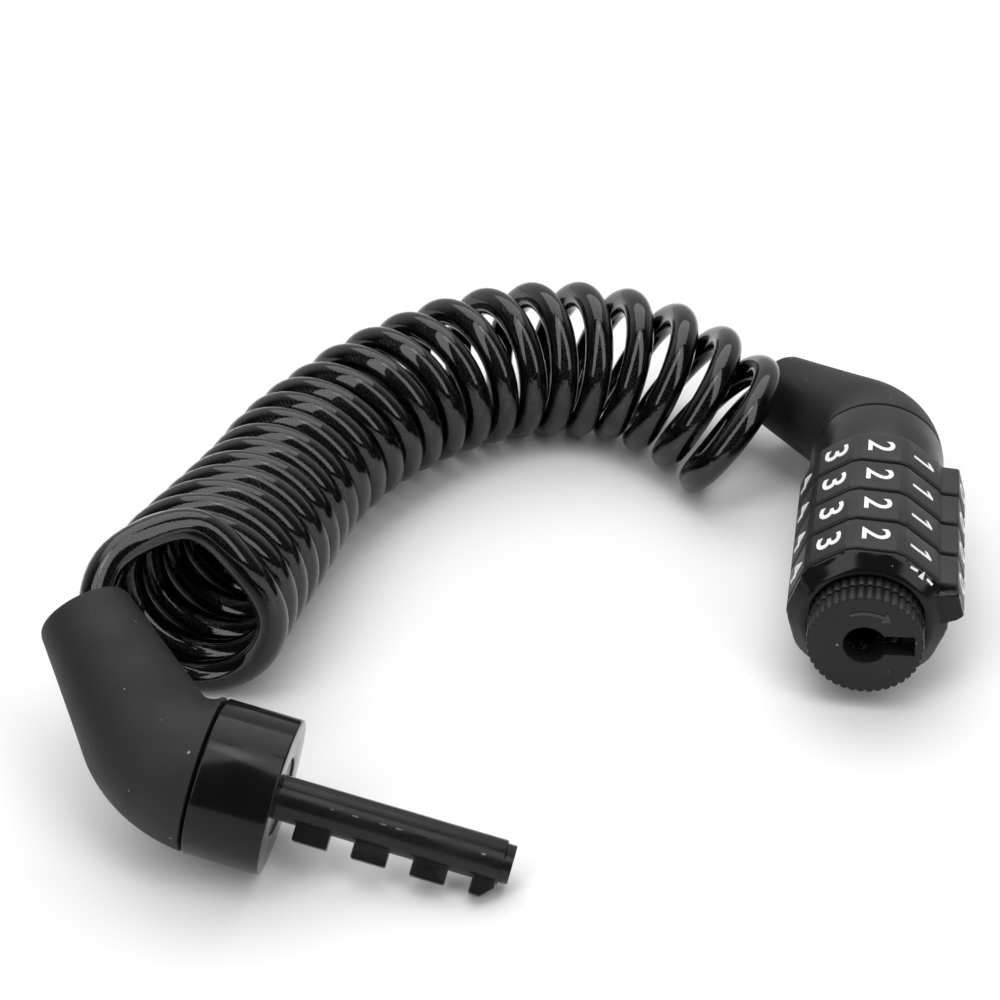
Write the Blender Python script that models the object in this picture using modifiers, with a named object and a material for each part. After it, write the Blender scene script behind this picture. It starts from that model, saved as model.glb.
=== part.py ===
"""Coiled combination cable lock: a four-dial lock head, a coiled steel cable in a plastic jacket, and a toothed plug.

Frame: metres, +Z up, resting on Z = 0. The lock head lies along Y with its keyway facing -Y, and the origin is
the middle of the object's footprint. All constants below are millimetres and degrees, and MM turns them into metres.
"""

import math

import bmesh
import bpy
from mathutils import Matrix, Vector

MM = 0.001
GAP = 0.3  # between pieces that rest on, or run against, each other

# Where the three groups lie on the floor.
LOCK_X, LOCK_FACE_Y = 38.63, -11.82  # the lock's axis, and its keyway face
LOCK_AXIS_Z = 9.33  # the head lies on two ridges of its dials
DIAL_ROLL = 17.0  # how far the thumb lugs stand above the level, about the lock's axis
KEYWAY_ROLL = 5.0  # and how far the keyway's slot does
LOCK_ELBOW_TURN = 171.6  # which way the lock's elbow bends, about the lock's axis
COLLAR_R = 8.4
PLUG_SEAM = (-29.07, -47.1, 10.01)  # middle of the joint between the plug's elbow and its collar
PLUG_HEADING = -1.2  # the bolt's direction on the floor
PLUG_PITCH = 12.0  # the plug lies nose-down on its collar's front rim and the bolt's last tooth
PLUG_ELBOW_TURN = 151.2

# Cable and coil.
CABLE_R = 1.85
JACKET_WALL = 0.4
CORE_R = 1.2
COIL_START = (21.73, 31.23)  # middle of the first loop
COIL_PHASE = -168.8
# Loops counted from the lock: (turn, heading, pitch, radius, lean towards the plug, yaw of the loop's own plane).
COIL_STATIONS = (
    (0.0, 122.9, 7.9, 8.36, -41.6, 45.7),
    (2.0, 145.8, 6.36, 8.77, -31.1, 30.1),
    (4.5, 185.0, 5.36, 8.88, -15.3, 12.6),
    (8.0, 222.5, 5.17, 8.65, 2.0, 4.2),
    (12.0, 245.2, 4.5, 8.43, 14.8, 1.4),
    (16.0, 263.7, 4.26, 8.34, 5.7, -6.0),
    (20.0, 260.3, 4.32, 9.4, -1.3, 7.8),
    (22.6, 266.7, 4.35, 10.16, -1.3, 9.1),
)
MIDDLE_STEP = 0.025  # turns between two points of the coil's middle line
POINTS_PER_TURN = 8
LEAD_IN_TURN = 0.2  # the cable joins the coil at the bottom of its first loop
LEAD_IN_VIA = ((23.13, 47.23, 6.6),)
LEAD_OUT_TURN = 22.45  # and leaves it at the side of the last, over the top and into the plug's elbow
LEAD_OUT_VIA = ((-31.47, -21.87, 19.9), (-37.0, -21.9, 24.2), (-43.9, -29.7, 23.5))
HINGE_TURN = 5.0  # the coil bends at the outermost point of about this loop
SLIDE_TURN = 16.0  # and stretches from about this loop to the plug
HINGE_CUT = 0.7  # between the two lengths of cable that meet at the bend, so that they clear each other when bent

# The elbow is the same moulding at both ends. Its own Z runs from the collar into the elbow.
ELBOW_BEND = 44.7
ELBOW_BEND_R = 9.73
ELBOW_FIRST = 0.5
ELBOW_LAST = 15.46
ELBOW_TAPER = 0.87  # below 1 the elbow narrows fastest next to the collar
MOUTH_R = 5.12
THROAT = 5.0  # the cable hole widens over this length towards the mouth, so that the cable can leave at a slant
FLARE_R = 4.0
SPIGOT_R, SPIGOT_L = 6.6, 5.0
SPIGOT_BORE_R = 4.3
FERRULE_R, FERRULE_FROM, FERRULE_TO = 3.4, -1.5, 5.5
COLLAR_BORE_R = 6.9
PIN_R, PIN_Z = 1.0, -3.5

# Lock head, measured along its axis from the keyway face.
KNOB_R, KNOB_T = 6.7, 2.4
KNURL_TEETH, KNURL_DEPTH = 40, 0.25
RING_FROM, RING_TO = 2.7, 4.3
FLANGE_FROM, FLANGE_TO = 4.1, 6.15
FLANGE_FRONT_R, FLANGE_FULL_FROM = 7.4, 5.95  # its front is a cone that reaches the ridges' radius near its back
LUG_FROM = 4.9
DIAL_FROM, DIAL_PITCH, DIAL_COUNT = 6.3, 6.4, 4
DIAL_GROOVE = 0.5  # the open groove between two dials
DIAL_RIDGE_R, DIAL_RIDGE_W = 9.6, 1.1
LUG_ROOT_R, LUG_R, LUG_TIP_W, LUG_ROOT_W = 9.25, 11.1, 3.9, 5.3
FLANGE_LUG = ((6.6, 3.3), (8.2, 2.05), (10.3, 1.8), (11.1, 1.45))  # (distance from the axis, half its width)
CODE_RING_R, CODE_RING_T = 6.7, 5.5
SPINDLE_R, SPINDLE_BORE_R = 4.0, 2.65
KEYWAY_R, KEYWAY_REACH, KEYWAY_W = 2.5, 5.6, 2.6
SEAM = 40.0  # where the elbow meets the collar
HUB_R, HUB_NECK_R, HUB_TO = 5.6, 5.0, 6.4
CLIP_FROM, CLIP_TO, CLIP_R = 5.7, 6.1, 7.0

# Plug, measured along its axis from the joint between elbow and collar.
PLUG_COLLAR_TO = 8.6
PLUG_WALL = 2.0
BOLT_R, BOLT_L, BOLT_TIP_L = 2.4, 24.2, 1.0
TAIL_R, TAIL_RECESS = 4.0, 0.2  # the bolt's thick tail ends just inside the collar's face
TOOTH_REACH, TOOTH_L, TOOTH_W, TOOTH_PITCH, TOOTH_FIRST = 4.05, 3.8, 2.2, 6.4, 2.3
TOOTH_ROLL = 48.0  # the teeth point down, and this far towards -Y

model = None
cutters = None


def start_scene():
    """An empty scene with one collection for the object and one for what cuts it."""
    global model, cutters
    for obj in list(bpy.data.objects):
        bpy.data.objects.remove(obj, do_unlink=True)
    model = bpy.data.collections.new("cable_lock")
    cutters = bpy.data.collections.new("cutters")
    bpy.context.scene.collection.children.link(model)
    bpy.context.scene.collection.children.link(cutters)


def material(name, colour, roughness, metallic=0.0):
    made = bpy.data.materials.new(name)
    made.use_nodes = True
    surface = made.node_tree.nodes["Principled BSDF"]
    surface.inputs["Base Color"].default_value = (*colour, 1.0)
    surface.inputs["Roughness"].default_value = roughness
    surface.inputs["Metallic"].default_value = metallic
    return made


def empty(name, location, rotation=(0.0, 0.0, 0.0)):
    made = bpy.data.objects.new(name, None)
    made.location = location
    made.rotation_euler = rotation
    made.empty_display_size = 5 * MM
    model.objects.link(made)
    return made


def place(obj, finish=None, parent=None, at=(0.0, 0.0, 0.0), smooth=True):
    """Puts a finished piece in the model with its material, parent and place under that parent (mm)."""
    if obj.name not in model.objects:
        model.objects.link(obj)
    if finish:
        obj.data.materials.clear()
        obj.data.materials.append(finish)
    obj.parent = parent
    obj.location = Vector(at) * MM
    if smooth and obj.type == "MESH":
        obj.data.shade_smooth()
        obj.data.set_sharp_from_angle(angle=math.radians(35))
    return obj


def turned(name, profile, steps=40):
    """A solid turned about Z. The profile of (radius, height) runs down the outside, then up the inside or to the axis."""
    mesh = bpy.data.meshes.new(name)
    points = [(r * MM, 0.0, z * MM) for r, z in profile]
    loop = [(i, i + 1) for i in range(len(points) - 1)]
    if profile[0][0] or profile[-1][0]:
        loop.append((len(points) - 1, 0))
    mesh.from_pydata(points, loop, [])
    obj = bpy.data.objects.new(name, mesh)
    model.objects.link(obj)
    screw = obj.modifiers.new("turn", "SCREW")
    screw.axis = "Z"
    screw.angle = math.tau
    screw.steps = steps
    screw.render_steps = steps
    screw.use_merge_vertices = True
    screw.merge_threshold = 0.00001
    return obj


def tube_profile(inner, outer, low, high):
    return [(outer, high), (outer, low), (inner, low), (inner, high)]


def outline(name, loops, thickness):
    """A flat shape from closed loops of (x, y), the later ones holes, standing from Z = 0 to its thickness."""
    curve = bpy.data.curves.new(name, "CURVE")
    curve.dimensions = "2D"
    curve.fill_mode = "BOTH"
    curve.extrude = thickness / 2 * MM
    for points in loops:
        spline = curve.splines.new("POLY")
        spline.points.add(len(points) - 1)
        for point, (x, y) in zip(spline.points, points):
            point.co = (x * MM, y * MM, 0.0, 1.0)
        spline.use_cyclic_u = True
    obj = bpy.data.objects.new(name, curve)
    model.objects.link(obj)
    return obj


def wire(name, points, radius, radii=None, sides=8, caps=True):
    """A round tube along a run of points (mm). radii scales the radius at each point."""
    curve = bpy.data.curves.new(name, "CURVE")
    curve.dimensions = "3D"
    curve.bevel_depth = radius * MM
    curve.bevel_resolution = (sides - 4) // 2
    curve.use_fill_caps = caps
    curve.twist_mode = "MINIMUM"
    spline = curve.splines.new("POLY")
    spline.points.add(len(points) - 1)
    for i, (point, place_mm) in enumerate(zip(spline.points, points)):
        point.co = (*(Vector(place_mm) * MM), 1.0)
        point.radius = radii[i] if radii else 1.0
    obj = bpy.data.objects.new(name, curve)
    model.objects.link(obj)
    return obj


def as_mesh(obj):
    """A mesh copy of a curve or modified object, in the same place and with its caps welded; the first is removed."""
    bpy.context.view_layer.update()
    graph = bpy.context.evaluated_depsgraph_get()
    mesh = bpy.data.meshes.new_from_object(obj.evaluated_get(graph))
    shape = bmesh.new()
    shape.from_mesh(mesh)
    bmesh.ops.remove_doubles(shape, verts=shape.verts, dist=0.000005)
    bmesh.ops.recalc_face_normals(shape, faces=shape.faces)
    shape.to_mesh(mesh)
    shape.free()
    name, matrix = obj.name, obj.matrix_world.copy()
    bpy.data.objects.remove(obj, do_unlink=True)
    made = bpy.data.objects.new(name, mesh)
    made.matrix_world = matrix
    model.objects.link(made)
    return made


def shift_mesh(obj, offset):
    obj.data.transform(Matrix.Translation(Vector(offset) * MM))
    return obj


def to_cutters(obj):
    for held in list(obj.users_collection):
        held.objects.unlink(obj)
    cutters.objects.link(obj)
    obj.hide_render = True
    obj.display_type = "WIRE"
    return obj


def combine(obj, other, operation):
    step = obj.modifiers.new(operation.lower(), "BOOLEAN")
    step.operation = operation
    step.object = to_cutters(other)
    step.solver = "EXACT"


def cylinder(name, radius, low, high, sides=40):
    """A mesh cylinder along Z."""
    mesh = bpy.data.meshes.new(name)
    shape = bmesh.new()
    move = Matrix.Translation((0, 0, (low + high) / 2 * MM))
    bmesh.ops.create_cone(
        shape,
        cap_ends=True,
        segments=sides,
        radius1=radius * MM,
        radius2=radius * MM,
        depth=(high - low) * MM,
        matrix=move,
    )
    shape.to_mesh(mesh)
    shape.free()
    obj = bpy.data.objects.new(name, mesh)
    model.objects.link(obj)
    return obj


def box(name, low, high):
    mesh = bpy.data.meshes.new(name)
    shape = bmesh.new()
    size = [(b - a) * MM for a, b in zip(low, high)]
    middle = [(b + a) / 2 * MM for a, b in zip(low, high)]
    bmesh.ops.create_cube(shape, size=1.0, matrix=Matrix.Translation(middle) @ Matrix.Diagonal((*size, 1.0)))
    shape.to_mesh(mesh)
    shape.free()
    obj = bpy.data.objects.new(name, mesh)
    model.objects.link(obj)
    return obj


def polar(radius, degrees):
    return (radius * math.cos(math.radians(degrees)), radius * math.sin(math.radians(degrees)))


def arc_points(radius, first, last, count):
    return [polar(radius, first + (last - first) * i / (count - 1)) for i in range(count)]


# The lock head. Its own frame has Z along the axis, away from the keyway face, X towards the thumb lugs' side,
# and Y downwards, so an angle measured from X towards the top of the lock is negative there.


def up(points):
    """Mirrors a shape drawn with Y upwards into the head's own frame, where Y points down."""
    return [(x, -y) for x, y in reversed(points)]


def dial_shape(with_lug=True):
    """Ten flat facets between narrow ridges, with one tapered thumb lug over the facet towards +X."""
    half = math.degrees(math.asin(DIAL_RIDGE_W / 2 / DIAL_RIDGE_R))
    points = []
    for ridge in range(10):
        angle = 18 + 36 * ridge
        points += [polar(DIAL_RIDGE_R, angle - half), polar(DIAL_RIDGE_R, angle + half)]
    if not with_lug:
        return points
    lug = [
        (LUG_ROOT_R, -LUG_ROOT_W / 2),
        (LUG_R, -LUG_TIP_W / 2),
        (LUG_R, LUG_TIP_W / 2),
        (LUG_ROOT_R, LUG_ROOT_W / 2),
    ]
    return lug + points[1:-1]


def swung(points, degrees):
    """A flat shape turned about the axis."""
    turn = math.radians(degrees)
    return [
        (x * math.cos(turn) - y * math.sin(turn), x * math.sin(turn) + y * math.cos(turn)) for x, y in points
    ]


def keyway_shape(radius, width, reach):
    """A round hole with one slot towards +X."""
    corner = math.degrees(math.asin(width / 2 / radius))
    return arc_points(radius, corner, 360 - corner, 20) + [(reach, -width / 2), (reach, width / 2)]


def knurl_shape(radius):
    return [
        polar(radius - (KNURL_DEPTH if i % 2 else 0.0), i * 180 / KNURL_TEETH) for i in range(2 * KNURL_TEETH)
    ]


def build_dials(axis, finish, ring_finish):
    for i in range(DIAL_COUNT):
        # Dial 1 is the one next to the collar, dial 4 the one next to the flange.
        low = DIAL_FROM + DIAL_PITCH * (DIAL_COUNT - 1 - i) + DIAL_GROOVE / 2
        thick = DIAL_PITCH - DIAL_GROOVE
        bore = [polar(CODE_RING_R / math.cos(math.radians(18)) + GAP, 36 * k) for k in range(10)]
        dial = outline(f"dial_{i + 1}", [up(dial_shape()), up(bore)], thick)
        place(dial, finish, axis, (0, 0, low + thick / 2))
        notch = swung(keyway_shape(SPINDLE_R + 0.25, KEYWAY_W + 0.2, KEYWAY_REACH), KEYWAY_ROLL - DIAL_ROLL)
        rim = [polar(CODE_RING_R / math.cos(math.radians(18)), 36 * k) for k in range(10)]
        ring = outline(f"code_ring_{i + 1}", [up(rim), up(notch)], CODE_RING_T)
        place(ring, ring_finish, axis, (0, 0, low + thick / 2))


def build_spindle(axis, elbow_frame, finish):
    spindle = turned("lock_spindle", tube_profile(SPINDLE_BORE_R, SPINDLE_R, 2.8, SEAM - 2.0), 28)
    slot = box("spindle_slot", (1.0, -KEYWAY_W / 2, 0), (6.0, KEYWAY_W / 2, 33.0))
    slot.parent = axis
    combine(spindle, slot, "DIFFERENCE")
    hole = pin_hole("spindle_pin_hole", elbow_frame)
    combine(spindle, hole, "DIFFERENCE")
    place(spindle, finish, axis)


def pin_hole(name, elbow_frame):
    """The cross hole for the retaining pin, along the elbow's own Y."""
    hole = cylinder(name, PIN_R + GAP, -SPIGOT_R - 1, SPIGOT_R + 1, 12)
    hole.data.transform(Matrix.Rotation(math.radians(90), 4, "X"))
    shift_mesh(hole, (0, 0, PIN_Z))
    hole.parent = elbow_frame
    return hole


def build_front(axis, key_axis, finish, knob_finish, clip_finish):
    flange = as_mesh(outline("front_flange", [up(dial_shape(False))], FLANGE_TO - FLANGE_FROM))
    shift_mesh(flange, (0, 0, (FLANGE_TO + FLANGE_FROM) / 2))
    slope = turned(
        "flange_taper",
        [(0, FLANGE_TO + 1), (12, FLANGE_TO + 1), (12, FLANGE_FULL_FROM), (DIAL_RIDGE_R + 0.3, FLANGE_FULL_FROM),
         (FLANGE_FRONT_R, FLANGE_FROM), (FLANGE_FRONT_R, FLANGE_FROM - 1), (0, FLANGE_FROM - 1)],
    )
    slope.parent = axis
    combine(flange, slope, "INTERSECT")
    lug_shape = [(x, -y) for x, y in FLANGE_LUG] + [(x, y) for x, y in reversed(FLANGE_LUG)]
    lug = as_mesh(outline("flange_lug", [up(lug_shape)], FLANGE_TO - LUG_FROM))
    shift_mesh(lug, (0, 0, (FLANGE_TO + LUG_FROM) / 2))
    lug.parent = axis
    combine(flange, lug, "UNION")
    for name, radius, low, high in (
        ("flange_bore", HUB_R + GAP, FLANGE_FROM - 1, FLANGE_TO + 1),
        ("flange_front_seat", KNOB_R + GAP, FLANGE_FROM - 1, FLANGE_FROM + 0.5),
        ("flange_clip_seat", CLIP_R + GAP, CLIP_FROM - GAP, FLANGE_TO + 1),
    ):
        bore = cylinder(name, radius, low, high, 32)
        bore.parent = axis
        combine(flange, bore, "DIFFERENCE")
    place(flange, finish, axis)

    ring = outline("knurled_ring", [up(knurl_shape(KNOB_R)), arc_points(HUB_R + GAP, 0, 348, 30)], RING_TO - RING_FROM)
    place(ring, knob_finish, key_axis, (0, 0, (RING_FROM + RING_TO) / 2))

    knob = as_mesh(outline("set_knob", [up(knurl_shape(KNOB_R)), keyway_shape(KEYWAY_R, KEYWAY_W, KEYWAY_REACH)], KNOB_T))
    shift_mesh(knob, (0, 0, KNOB_T / 2))
    hub = turned(
        "knob_hub",
        [(HUB_R, KNOB_T - 0.5), (SPINDLE_R + GAP, KNOB_T - 0.5), (SPINDLE_R + GAP, HUB_TO), (HUB_R, HUB_TO),
         (HUB_R, CLIP_TO + 0.15), (HUB_NECK_R, CLIP_TO + 0.15), (HUB_NECK_R, CLIP_FROM - 0.15),
         (HUB_R, CLIP_FROM - 0.15)],
        28,
    )
    hub.parent = key_axis
    combine(knob, hub, "UNION")
    slot = box("hub_slot", (2.0, -KEYWAY_W / 2, KNOB_T - 0.4), (8.0, KEYWAY_W / 2, 8.0))
    slot.parent = key_axis
    combine(knob, slot, "DIFFERENCE")
    place(knob, knob_finish, key_axis)

    open_half = 32
    clip = outline(
        "knob_clip",
        [arc_points(CLIP_R, open_half, 360 - open_half, 22)
         + arc_points(HUB_NECK_R + GAP, 360 - open_half, open_half, 22)],
        CLIP_TO - CLIP_FROM,
    )
    place(clip, clip_finish, key_axis, (0, 0, (CLIP_FROM + CLIP_TO) / 2))


def build_wave_spring(axis, finish):
    """A wave washer between the elbow's spigot and the first code ring."""
    low = DIAL_FROM + DIAL_PITCH * DIAL_COUNT + 1.4
    washer = as_mesh(turned("wave_spring", tube_profile(SPINDLE_R + 0.5, 6.3, low, low + 0.4), 30))
    for vertex in washer.data.vertices:
        angle = math.atan2(vertex.co.y, vertex.co.x)
        vertex.co.z += 0.5 * MM * math.cos(3 * angle)
    place(washer, finish, axis)


# The elbow, used at both ends.


def elbow_centreline():
    """Points from the joint to the mouth, in the elbow's own XZ plane, with the distance along them."""
    points = [(0.0, 0.0, -0.01), (0.0, 0.0, ELBOW_FIRST)]
    bend = math.radians(ELBOW_BEND)
    steps = 6
    for i in range(1, steps + 1):
        a = bend * i / steps
        points.append((ELBOW_BEND_R * (1 - math.cos(a)), 0.0, ELBOW_FIRST + ELBOW_BEND_R * math.sin(a)))
    x, _, z = points[-1]
    for share in (0.35, 0.7, 0.95, 1.0):
        points.append((x + share * ELBOW_LAST * math.sin(bend), 0.0, z + share * ELBOW_LAST * math.cos(bend)))
    run = [0.0]
    for a, b in zip(points, points[1:]):
        run.append(run[-1] + math.dist(a, b))
    return points, run


def elbow_mouth():
    """The mouth's middle and its outward direction, in the elbow's own frame."""
    bend = math.radians(ELBOW_BEND)
    return Vector(elbow_centreline()[0][-1]), Vector((math.sin(bend), 0.0, math.cos(bend)))


def elbow_cable_path(beyond=0.0, count=6):
    """The cable's run from the ferrule to the throat of the mouth, as a cubic curve."""
    mouth, out = elbow_mouth()
    throat = mouth - THROAT * out
    a = Vector((0, 0, FERRULE_TO))
    b = a + Vector((0, 0, 4.0))
    c = throat - 5.0 * out
    points = [Vector((0, 0, FERRULE_FROM + 0.5))]
    for i in range(count + 1):
        t = i / count
        points.append(a * (1 - t) ** 3 + b * 3 * t * (1 - t) ** 2 + c * 3 * t * t * (1 - t) + throat * t**3)
    if beyond:
        points.append(throat + beyond * out)
    return points


def flare(name):
    """The widening of the cable hole at the mouth."""
    mouth, out = elbow_mouth()
    mesh = bpy.data.meshes.new(name)
    shape = bmesh.new()
    bmesh.ops.create_cone(
        shape,
        cap_ends=True,
        segments=16,
        radius1=(CABLE_R + GAP) * MM,
        radius2=(FLARE_R + 0.4) * MM,
        depth=(THROAT + 1.0) * MM,
        matrix=Matrix.Translation((mouth + (0.5 - THROAT / 2) * out) * MM) @ Matrix.Rotation(math.radians(ELBOW_BEND), 4, "Y"),
    )
    shape.to_mesh(mesh)
    shape.free()
    obj = bpy.data.objects.new(name, mesh)
    model.objects.link(obj)
    return obj


def build_elbow(name, holder, finish):
    points, run = elbow_centreline()
    radii = [COLLAR_R + (MOUTH_R - COLLAR_R) * (d / run[-1]) ** ELBOW_TAPER for d in run]
    radii[-1] = MOUTH_R - 0.5
    body = as_mesh(wire(name, points, 1.0, radii, sides=24))
    spigot = cylinder(f"{name}_spigot", SPIGOT_R, -SPIGOT_L, 3.0, 28)
    spigot.parent = holder
    combine(body, spigot, "UNION")
    for part, radius, low, high in (
        ("tail_bore", SPIGOT_BORE_R, -SPIGOT_L - 1, FERRULE_FROM - GAP),
        ("ferrule_room", FERRULE_R + GAP, FERRULE_FROM - 1, FERRULE_TO + GAP),
    ):
        bore = cylinder(f"{name}_{part}", radius, low, high, 20)
        bore.parent = holder
        combine(body, bore, "DIFFERENCE")
    channel = as_mesh(wire(f"{name}_channel", elbow_cable_path(THROAT + 3.0), CABLE_R + GAP + 0.15, sides=8))
    channel.parent = holder
    combine(body, channel, "DIFFERENCE")
    mouth_flare = flare(f"{name}_flare")
    mouth_flare.parent = holder
    combine(body, mouth_flare, "DIFFERENCE")
    hole = pin_hole(f"{name}_pin_hole", holder)
    combine(body, hole, "DIFFERENCE")
    place(body, finish, holder)


def build_ferrule_and_pin(prefix, holder, finish):
    ferrule = turned(f"{prefix}_ferrule", tube_profile(CORE_R + GAP, FERRULE_R, FERRULE_FROM, FERRULE_TO), 24)
    place(ferrule, finish, holder)
    pin = cylinder(f"{prefix}_pin", PIN_R, -SPIGOT_R + 0.1, SPIGOT_R - 0.1, 12)
    pin.data.transform(Matrix.Rotation(math.radians(90), 4, "X"))
    place(pin, finish, holder, (0, 0, PIN_Z))


def build_collar(name, holder, low, high, wall, finish):
    """A turned sleeve along the elbow's own -Z, with an end wall round the bolt's tail where wall is given."""
    if wall:
        profile = [(COLLAR_R, high), (COLLAR_R, low), (TAIL_R + GAP, low), (TAIL_R + GAP, low + wall),
                   (COLLAR_BORE_R, low + wall), (COLLAR_BORE_R, high)]
    else:
        profile = tube_profile(COLLAR_BORE_R, COLLAR_R, low, high)
    place(turned(name, profile, 36), finish, holder)


def build_bolt(holder, finish):
    """The bolt points along the holder's -Z, with four teeth in a row along one side."""
    face = -PLUG_COLLAR_TO
    end = face - BOLT_L
    bolt = as_mesh(
        turned(
            "locking_bolt",
            [(0, -2.1), (TAIL_R, -2.1), (TAIL_R, face + TAIL_RECESS), (BOLT_R, face + TAIL_RECESS),
             (BOLT_R, end), (BOLT_R - 0.3, end), (BOLT_R - 0.3, end - BOLT_TIP_L), (0, end - BOLT_TIP_L)],
            24,
        )
    )
    comb = []
    for i in range(4):
        start = TOOTH_FIRST + TOOTH_PITCH * i
        chamfer = 1.2 if i == 3 else 0.0
        stop = min(start + TOOTH_L, BOLT_L - 0.2)
        comb += [(1.0, start), (TOOTH_REACH, start), (TOOTH_REACH, stop - chamfer), (TOOTH_REACH - chamfer, stop), (1.0, stop)]
    comb += [(0.0, comb[-1][1]), (0.0, comb[0][1])]
    seen = []
    for point in comb:
        if not seen or math.dist(point, seen[-1]) > 1e-6:
            seen.append(point)
    teeth = as_mesh(outline("bolt_teeth", [seen], TOOTH_W))
    # The comb is drawn with its length along Y: Y goes to -Z, and its thickness from Z to Y.
    teeth.data.transform(Matrix(((1, 0, 0, 0), (0, 0, 1, 0), (0, -1, 0, 0), (0, 0, 0, 1))))
    shift_mesh(teeth, (0, 0, face))
    teeth.data.transform(Matrix.Rotation(math.radians(TOOTH_ROLL - 90 - PLUG_ELBOW_TURN), 4, "Z"))
    teeth.parent = holder
    combine(bolt, teeth, "UNION")
    hole = pin_hole("bolt_pin_hole", holder)
    combine(bolt, hole, "DIFFERENCE")
    place(bolt, finish, holder)


# The coil.


def station(turn):
    """Heading, pitch, radius, lean and yaw of the coil at a number of turns from its start."""
    for low, high in zip(COIL_STATIONS, COIL_STATIONS[1:]):
        if turn <= high[0]:
            share = max(0.0, (turn - low[0]) / (high[0] - low[0]))
            return [a + (b - a) * share for a, b in zip(low[1:], high[1:])]
    return list(COIL_STATIONS[-1][1:])


def middle_line():
    """The middles of the loops on the floor, a point every MIDDLE_STEP turns."""
    points = [Vector((*COIL_START, 0.0))]
    for i in range(round(24 / MIDDLE_STEP)):
        heading, pitch = station((i + 0.5) * MIDDLE_STEP)[:2]
        points.append(points[-1] + Vector((*polar(pitch * MIDDLE_STEP, heading), 0.0)))
    return points


def coil_point(turn, line=middle_line()):
    """The cable's centreline: a right-handed coil whose loops rest on the floor."""
    i, share = divmod(max(turn, 0.0) / MIDDLE_STEP, 1)
    middle = line[int(i)].lerp(line[int(i) + 1], share)
    heading, pitch, radius, lean, yaw = station(turn)
    along = Vector((*polar(1.0, heading + yaw), 0.0))
    left = Vector((-along.y, along.x, 0.0))
    lean = math.radians(lean)
    top = math.sin(lean) * along + Vector((0.0, 0.0, math.cos(lean)))
    angle = math.tau * turn + math.radians(COIL_PHASE)
    rest = Vector((0.0, 0.0, radius * math.cos(lean) + CABLE_R))
    return middle + rest + radius * (math.cos(angle) * left + math.sin(angle) * top)


def coil_run(first, last):
    """Points along the coil, with a short step at each end so that a cut end is square to the cable."""
    count = max(1, round((last - first) * POINTS_PER_TURN))
    turns = [first + (last - first) * i / count for i in range(count + 1)]
    turns[1:1] = [first + 0.012]
    turns[-1:-1] = [last - 0.012]
    return [coil_point(turn) for turn in turns]


def bridge(a, a_way, via, b, b_way, per=3):
    """Points of a smooth curve from a to b by way of others, without its two ends. The ways are unit directions."""
    knots = [a, *[Vector(v) for v in via], b]
    slopes = [a_way * (knots[1] - a).length]
    slopes += [(after - before) / 2 for before, after in zip(knots, knots[2:])]
    slopes.append(b_way * (b - knots[-2]).length)
    points = []
    for p, q, p_slope, q_slope in zip(knots, knots[1:], slopes, slopes[1:]):
        for i in range(per):
            t = i / per
            points.append(
                p * (2 * t**3 - 3 * t**2 + 1) + p_slope * (t**3 - 2 * t**2 + t)
                + q * (-2 * t**3 + 3 * t**2) + q_slope * (t**3 - t**2)
            )
    return points[1:]


def coil_way(turn):
    return (coil_point(turn + 0.01) - coil_point(turn - 0.01)).normalized()


def side_turn(near, degrees):
    """The turn, nearest to a given one, at which the cable is at this angle round its loop."""
    part = (degrees - COIL_PHASE) / 360
    return round(near - part) + part


def cut_end(turn, side, gap):
    """The turn at which a length of cable ends, half a gap short of the cut."""
    return turn + side * gap / 2 / (math.tau * station(turn)[2])


def cable_lengths(lock_matrix, plug_matrix):
    """The centrelines of the three lengths of cable, in world millimetres, and the two cuts between them."""
    out = elbow_mouth()[1]
    lock_way = lock_matrix.to_3x3() @ out
    plug_way = plug_matrix.to_3x3() @ out
    inside_lock = [lock_matrix @ p for p in elbow_cable_path()]
    inside_plug = [plug_matrix @ p for p in elbow_cable_path()]
    hinge_turn = side_turn(HINGE_TURN, 180)
    slide_turn = side_turn(SLIDE_TURN, -90)
    first, last = LEAD_IN_TURN, LEAD_OUT_TURN
    lead_in = bridge(inside_lock[-1], lock_way, LEAD_IN_VIA, coil_point(first), coil_way(first), 4)
    lead_out = bridge(coil_point(last), coil_way(last), LEAD_OUT_VIA, inside_plug[-1], -plug_way)
    lock_side = inside_lock + lead_in + coil_run(first, cut_end(hinge_turn, -1, HINGE_CUT))
    middle = coil_run(cut_end(hinge_turn, 1, HINGE_CUT), cut_end(slide_turn, -1, GAP))
    plug_side = coil_run(cut_end(slide_turn, 1, GAP), last) + lead_out + inside_plug[::-1]
    return lock_side, middle, plug_side, hinge_turn, slide_turn


def build_cable(label, points, parent, origin, trims, jacket_finish, core_finish):
    """A jacket over a steel core. trims says how many points the jacket stops short of each end."""
    local = [p - origin for p in points]
    core = wire(f"steel_core_{label}", local, CORE_R, sides=6)
    place(core, core_finish, parent)
    bare = local[trims[0]: len(local) - trims[1]]
    jacket = wire(f"cable_jacket_{label}", bare, CABLE_R, sides=8, caps=False)
    wall = jacket.modifiers.new("wall", "SOLIDIFY")
    wall.thickness = JACKET_WALL * MM
    wall.offset = -1.0
    place(jacket, jacket_finish, parent)


def frame_matrix(place_mm, columns, roll):
    """A frame in millimetres from its place, the directions of its own X, Y and Z, and a roll about its own Z."""
    turn = Matrix(columns).transposed().to_4x4() @ Matrix.Rotation(math.radians(roll), 4, "Z")
    return Matrix.Translation(place_mm) @ turn


def lock_frame(along, roll):
    """A frame on the lock's axis. Its own Z runs towards the elbow, which is world +Y, and its own Y points down."""
    return frame_matrix((LOCK_X, LOCK_FACE_Y + along, LOCK_AXIS_Z), ((1, 0, 0), (0, 0, -1), (0, 1, 0)), roll)


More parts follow.
